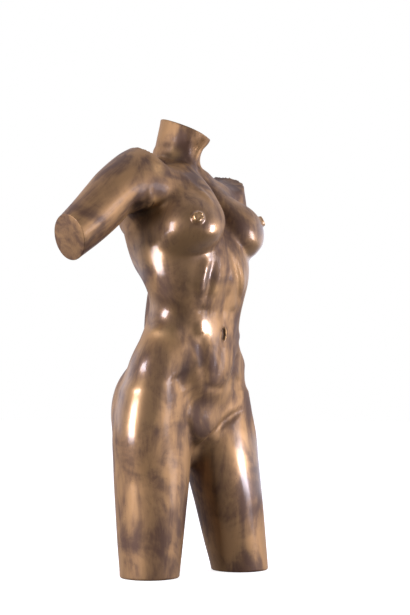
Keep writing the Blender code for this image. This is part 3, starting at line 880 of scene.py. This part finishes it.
# How much the clouds and the brush marks thin the patina, and how strongly each colour covers: the gold of
# worn places and painted highlights, the dark of hollows and painted shade, and the flecks
CLOUD_SHARE, BRUSH_SHARE = 0.6, 0.45
WORN_AND_HIGHLIGHT_SHARE, HOLLOW_AND_SHADE_SHARE, FLECK_SHARE = 0.85, 0.9, 0.6
# How metallic the patina is, and what its thin places and its worn gold and painted highlights add
METALLIC, THIN_METALLIC, WORN_METALLIC = 0.35, 0.3, 0.25
# What the brush marks add to the gloss, and what gloss and brush marks take off the roughness
GLOSS_BRUSH = 0.5
GLOSS_SMOOTHS, BRUSH_SMOOTHS = -0.22, -0.12
# The coat of wax: its weight where it is dull, what gloss adds, its roughness and its IOR
WAX_WEIGHT, GLOSS_WEIGHT = 0.08, 0.92
WAX_ROUGHNESS, WAX_IOR = 0.14, 1.5
# The bumps: strength, and height in metres
RIPPLE_BUMP = (0.16, 0.002)
GRAIN_BUMP = (0.10, 0.0008)
# The angle past which an edge of the skin is sharp
SHARP_ANGLE = 40


def streaks(tree, place):
    """Brush marks that run down the body, and along the arm on the arm."""
    arm = arm_frame(RIGHT_ARM_DIRECTION)
    turn = Matrix(arm.tolist()).transposed().to_euler()
    down = add_node(tree, "ShaderNodeMapping", None, Vector=place, Scale=BODY_STREAKS)
    turned = add_node(tree, "ShaderNodeMapping", None, Vector=place, Rotation=turn)
    along = add_node(tree, "ShaderNodeMapping", None, Vector=turned.outputs[0], Scale=ARM_STREAKS)
    body = noise(tree, down.outputs[0], *BODY_BRUSH)
    limb = noise(tree, along.outputs[0], *ARM_BRUSH)
    both = add_node(tree, "ShaderNodeMix", None, Factor=attribute(tree, "arm"), _2=body, _3=limb)
    return both.outputs[0]


def bronze(finish):
    """Bronze with a brown patina brushed over it and worn to gold on the high places, with painted
    highlights in gold and painted shade in dark brown, under clear wax.
    """
    material = bpy.data.materials.new("bronze")
    material.use_nodes = True
    tree = material.node_tree
    surface = tree.nodes["Principled BSDF"]
    place = add_node(tree, "ShaderNodeTexCoord").outputs["Object"]
    relief = attribute(tree, "relief")
    brushed = streaks(tree, place)
    clouds = noise(tree, place, *CLOUDS)
    patchy = spread(tree, noise(tree, place, *PATCHES), *PATCH_RANGE)
    # Gold on the raised places and on the rubbed patches, some of which are painted highlights
    worn_and_highlight = arithmetic(tree, "MAXIMUM", spread(tree, relief, *RAISED), attribute(tree, "rubbed"))
    worn_and_highlight = arithmetic(tree, "MULTIPLY", worn_and_highlight, patchy)
    # Dark on the sunk places, and on the patches of painted shade
    hollow_and_shade = arithmetic(tree, "MAXIMUM", spread(tree, relief, *SUNK), attribute(tree, "waxed"))
    hollow_and_shade = arithmetic(tree, "MULTIPLY", hollow_and_shade, patchy)
    cover = arithmetic(tree, "MULTIPLY", brushed, BRUSH_SHARE)
    cover = arithmetic(tree, "MULTIPLY_ADD", clouds, CLOUD_SHARE, cover)
    thin = spread(tree, cover, *THIN_RANGE)
    colour = blended(tree, thin, finish.patina, finish.metal)
    colour = blended(tree, arithmetic(tree, "MULTIPLY", worn_and_highlight, WORN_AND_HIGHLIGHT_SHARE), colour, finish.worn_and_highlight)
    colour = blended(tree, arithmetic(tree, "MULTIPLY", hollow_and_shade, HOLLOW_AND_SHADE_SHARE), colour, finish.recess_and_shade)
    flecks = spread(tree, noise(tree, place, *FLECKS), *FLECK_RANGE)
    colour = blended(tree, arithmetic(tree, "MULTIPLY", flecks, FLECK_SHARE), colour, finish.recess_and_shade)
    tree.links.new(colour, surface.inputs["Base Color"])
    metallic = arithmetic(tree, "MULTIPLY_ADD", thin, THIN_METALLIC, METALLIC)
    metallic = arithmetic(tree, "MULTIPLY_ADD", worn_and_highlight, WORN_METALLIC, metallic)
    tree.links.new(metallic, surface.inputs["Metallic"])
    gloss = arithmetic(tree, "MULTIPLY_ADD", brushed, GLOSS_BRUSH, attribute(tree, "gloss"))
    gloss = spread(tree, gloss, *GLOSS_RANGE)
    rough = arithmetic(tree, "MULTIPLY_ADD", gloss, GLOSS_SMOOTHS, finish.roughness)
    rough = arithmetic(tree, "MULTIPLY_ADD", brushed, BRUSH_SMOOTHS, rough)
    tree.links.new(rough, surface.inputs["Roughness"])
    wax = arithmetic(tree, "MULTIPLY_ADD", gloss, GLOSS_WEIGHT, WAX_WEIGHT)
    tree.links.new(wax, surface.inputs["Coat Weight"])
    surface.inputs["Coat Roughness"].default_value = WAX_ROUGHNESS
    surface.inputs["Coat IOR"].default_value = WAX_IOR
    uneven = bumped(tree, noise(tree, place, *RIPPLE), *RIPPLE_BUMP)
    fine = bumped(tree, noise(tree, place, *GRAIN), *GRAIN_BUMP, Normal=uneven)
    tree.links.new(fine, surface.inputs["Normal"])
    tree.links.new(uneven, surface.inputs["Coat Normal"])
    return material


# The paper floor: how dull it is, and how much it glows, so that it stays pale without a shadow
PAPER_ROUGHNESS, PAPER_GLOW = 0.9, 0.75


def add_floor(studio):
    shape = bmesh.new()
    bmesh.ops.create_grid(shape, x_segments=1, y_segments=1, size=studio.floor_size / 2)
    mesh = bpy.data.meshes.new("floor")
    shape.to_mesh(mesh)
    shape.free()
    floor = bpy.data.objects.new("floor", mesh)
    bpy.context.scene.collection.objects.link(floor)
    paper = bpy.data.materials.new("paper")
    paper.use_nodes = True
    surface = paper.node_tree.nodes["Principled BSDF"]
    surface.inputs["Base Color"].default_value = studio.floor_colour
    surface.inputs["Roughness"].default_value = PAPER_ROUGHNESS
    surface.inputs["Specular IOR Level"].default_value = 0.0
    surface.inputs["Emission Color"].default_value = (1, 1, 1, 1)
    surface.inputs["Emission Strength"].default_value = PAPER_GLOW
    mesh.materials.append(paper)
    floor.visible_diffuse = False
    floor.visible_glossy = False


# Each softbox: name, degrees round from the figure's front, distance, height, its own width and height,
# and its power in watts
SOFTBOXES = (
    ("left_softbox", -99, 2.4, 0.46, 1.05, 1.3, 66),
    ("right_softbox", 29, 2.4, 0.50, 0.75, 1.1, 45),
)
# What the softboxes look at, and the colour of their light
AIM = (0, 0, 0.5)
COOL_WHITE = (0.95, 0.92, 1.06)


def add_softbox(name, turn, distance, height, width, tall, power):
    light = bpy.data.objects.new(name, bpy.data.lights.new(name, "AREA"))
    light.data.shape = "RECTANGLE"
    light.data.size, light.data.size_y = width, tall
    light.data.energy = power
    light.data.color = COOL_WHITE
    turn = math.radians(turn)
    place = Vector((math.sin(turn) * distance, -math.cos(turn) * distance, height))
    light.location = place
    light.rotation_euler = (Vector(AIM) - place).to_track_quat("-Z", "Y").to_euler()
    bpy.context.scene.collection.objects.link(light)


# The studio is white behind the figure and dim on the camera's side; the backdrop itself is plain white.
# The way to the backdrop, and how bright the two sides and the ground are
BACKDROP = (0.766, 0.643, 0)
DIM, BRIGHT, GROUND = 0.16, 1.0, 0.25
# Over which parts of the way to the backdrop and of the rise to the horizon the light changes
TO_BACKDROP, TO_HORIZON = (-0.35, 0.45), (-0.5, 0.0)


def add_world(scene):
    world = bpy.data.worlds.new("studio")
    world.use_nodes = True
    tree = world.node_tree
    around = add_node(tree, "ShaderNodeTexCoord").outputs["Generated"]
    facing = add_node(tree, "ShaderNodeVectorMath", {"operation": "DOT_PRODUCT"}, _0=around, _1=BACKDROP)
    light = spread(tree, facing.outputs["Value"], *TO_BACKDROP, DIM, BRIGHT)
    rise = add_node(tree, "ShaderNodeSeparateXYZ", None, Vector=around).outputs["Z"]
    light = arithmetic(tree, "MULTIPLY", light, spread(tree, rise, *TO_HORIZON, GROUND, 1.0))
    seen = add_node(tree, "ShaderNodeLightPath").outputs["Is Camera Ray"]
    strength = add_node(tree, "ShaderNodeMix", None, Factor=seen, _2=light, _3=1.0).outputs[0]
    background = tree.nodes["Background"]
    tree.links.new(blended(tree, seen, (*COOL_WHITE, 1), (1, 1, 1, 1)), background.inputs["Color"])
    tree.links.new(strength, background.inputs["Strength"])
    scene.world = world


# The camera: where it stands, how far round and up it looks, and its lens
CAMERA_PLACE = (-1.8591, -1.6320, 0.304)
CAMERA_TURN, CAMERA_PITCH = 50.0, 4.54
PICTURE_HEIGHT = 615
FOCAL_PIXELS = 1311.0
SENSOR = 36.0


def add_camera(scene):
    camera = bpy.data.objects.new("camera", bpy.data.cameras.new("camera"))
    camera.data.sensor_fit = "VERTICAL"
    camera.data.sensor_height = SENSOR
    camera.data.lens = FOCAL_PIXELS / PICTURE_HEIGHT * SENSOR
    camera.location = CAMERA_PLACE
    camera.rotation_euler = (math.radians(90 + CAMERA_PITCH), 0, math.radians(-CAMERA_TURN))
    scene.collection.objects.link(camera)
    scene.camera = camera


class TorsoForm(bpy.types.PropertyGroup):
    """The sizes of the figure."""

    height: FloatProperty(
        name="Height",
        description="From the floor to the highest point of the neck's cut",
        default=FRAME_HEIGHT,
        unit="LENGTH",
    )
    skin: FloatProperty(
        name="Skin",
        description="The size of one face of the figure's surface",
        default=0.0036,
        precision=4,
        unit="LENGTH",
    )


class TorsoFinish(bpy.types.PropertyGroup):
    """The colours of the bronze, with its painted highlights and painted shade."""

    metal: FloatVectorProperty(
        name="Metal",
        description="The bare bronze, where the patina is thin",
        default=(0.45, 0.267, 0.118, 1),
        size=4,
        subtype="COLOR",
    )
    patina: FloatVectorProperty(
        name="Patina",
        description="The brown that is brushed over the bronze",
        default=(0.135, 0.071, 0.040, 1),
        size=4,
        subtype="COLOR",
    )
    # The gold of worn places, also used for the painted highlights
    worn_and_highlight: FloatVectorProperty(
        name="Worn",
        description="The gold of the places that are rubbed bright",
        default=(0.76, 0.47, 0.20, 1),
        size=4,
        subtype="COLOR",
    )
    # The dark of the hollows and of the arm's cut, also used for the painted shade
    recess_and_shade: FloatVectorProperty(
        name="Recess",
        description="The dark wax that gathers in the hollows",
        default=(0.045, 0.022, 0.012, 1),
        size=4,
        subtype="COLOR",
    )
    roughness: FloatProperty(
        name="Roughness",
        description="How dull the metal is under its wax",
        default=0.66,
        min=0,
        max=1,
        subtype="FACTOR",
    )


class StudioSet(bpy.types.PropertyGroup):
    """The studio around the figure."""

    floor_size: FloatProperty(
        name="Floor",
        description="The width of the pale floor",
        default=60.0,
        unit="LENGTH",
    )
    floor_colour: FloatVectorProperty(
        name="Floor colour",
        description="The colour of the paper floor",
        default=(0.9, 0.9, 0.9, 1),
        size=4,
        subtype="COLOR",
    )


class TORSO_OT_make_figure(bpy.types.Operator):
    """Makes the bronze figure"""

    bl_idname = "torso.make_figure"
    bl_label = "Figure"

    def execute(self, context):
        form = context.scene.torso_form
        unit = form.height / FIGURE_TOP
        torso = sculpt(form.skin / unit)
        torso.name = torso.data.name = "bronze_torso"
        round_rims(torso.data)
        refine_small_forms(torso.data)
        mark_relief(torso.data)
        mark_arm(torso.data)
        # The gloss patches, the rubbed gold with its painted highlights, and the dark wax with its painted
        # shade
        for name, patches in (("gloss", GLOSSY), ("rubbed", RUBBED_AND_PAINTED_HIGHLIGHTS), ("waxed", WAX_AND_PAINTED_SHADE)):
            mark_patches(torso.data, name, patches)
        move_points(torso.data, (mesh_points(torso.data) - (*MIDDLE, 0)) * unit)
        torso.data.shade_smooth()
        torso.data.set_sharp_from_angle(angle=math.radians(SHARP_ANGLE))
        torso.data.materials.append(bronze(context.scene.torso_finish))
        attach(torso, "root")
        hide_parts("torso")
        return {"FINISHED"}


class TORSO_OT_make_studio(bpy.types.Operator):
    """Makes the floor, the lights and the camera"""

    bl_idname = "torso.make_studio"
    bl_label = "Studio"

    def execute(self, context):
        studio = context.scene.torso_studio
        add_floor(studio)
        add_world(context.scene)
        for softbox in SOFTBOXES:
            add_softbox(*softbox)
        add_camera(context.scene)
        context.scene.view_settings.view_transform = "Standard"
        return {"FINISHED"}


class TORSO_PT_panel(bpy.types.Panel):
    """The torso's own panel in the sidebar"""

    bl_label = "Bronze Torso"
    bl_space_type = "VIEW_3D"
    bl_region_type = "UI"
    bl_category = "Torso"

    def draw(self, context):
        for settings in (context.scene.torso_form, context.scene.torso_finish, context.scene.torso_studio):
            for name in type(settings).__annotations__:
                self.layout.prop(settings, name)
        for operator in OPERATORS:
            self.layout.operator(operator.bl_idname)


OPERATORS = (TORSO_OT_make_figure, TORSO_OT_make_studio)
SETTINGS = {"torso_form": TorsoForm, "torso_finish": TorsoFinish, "torso_studio": StudioSet}
CLASSES = (*SETTINGS.values(), *OPERATORS, TORSO_PT_panel)


def register():
    for made in CLASSES:
        bpy.utils.register_class(made)
    for name, group in SETTINGS.items():
        setattr(bpy.types.Scene, name, PointerProperty(type=group))


def unregister():
    for name in SETTINGS:
        delattr(bpy.types.Scene, name)
    for made in reversed(CLASSES):
        bpy.utils.unregister_class(made)


def main():
    register()
    bpy.ops.torso.make_figure()
    bpy.ops.torso.make_studio()


if __name__ == "__main__":
    main()
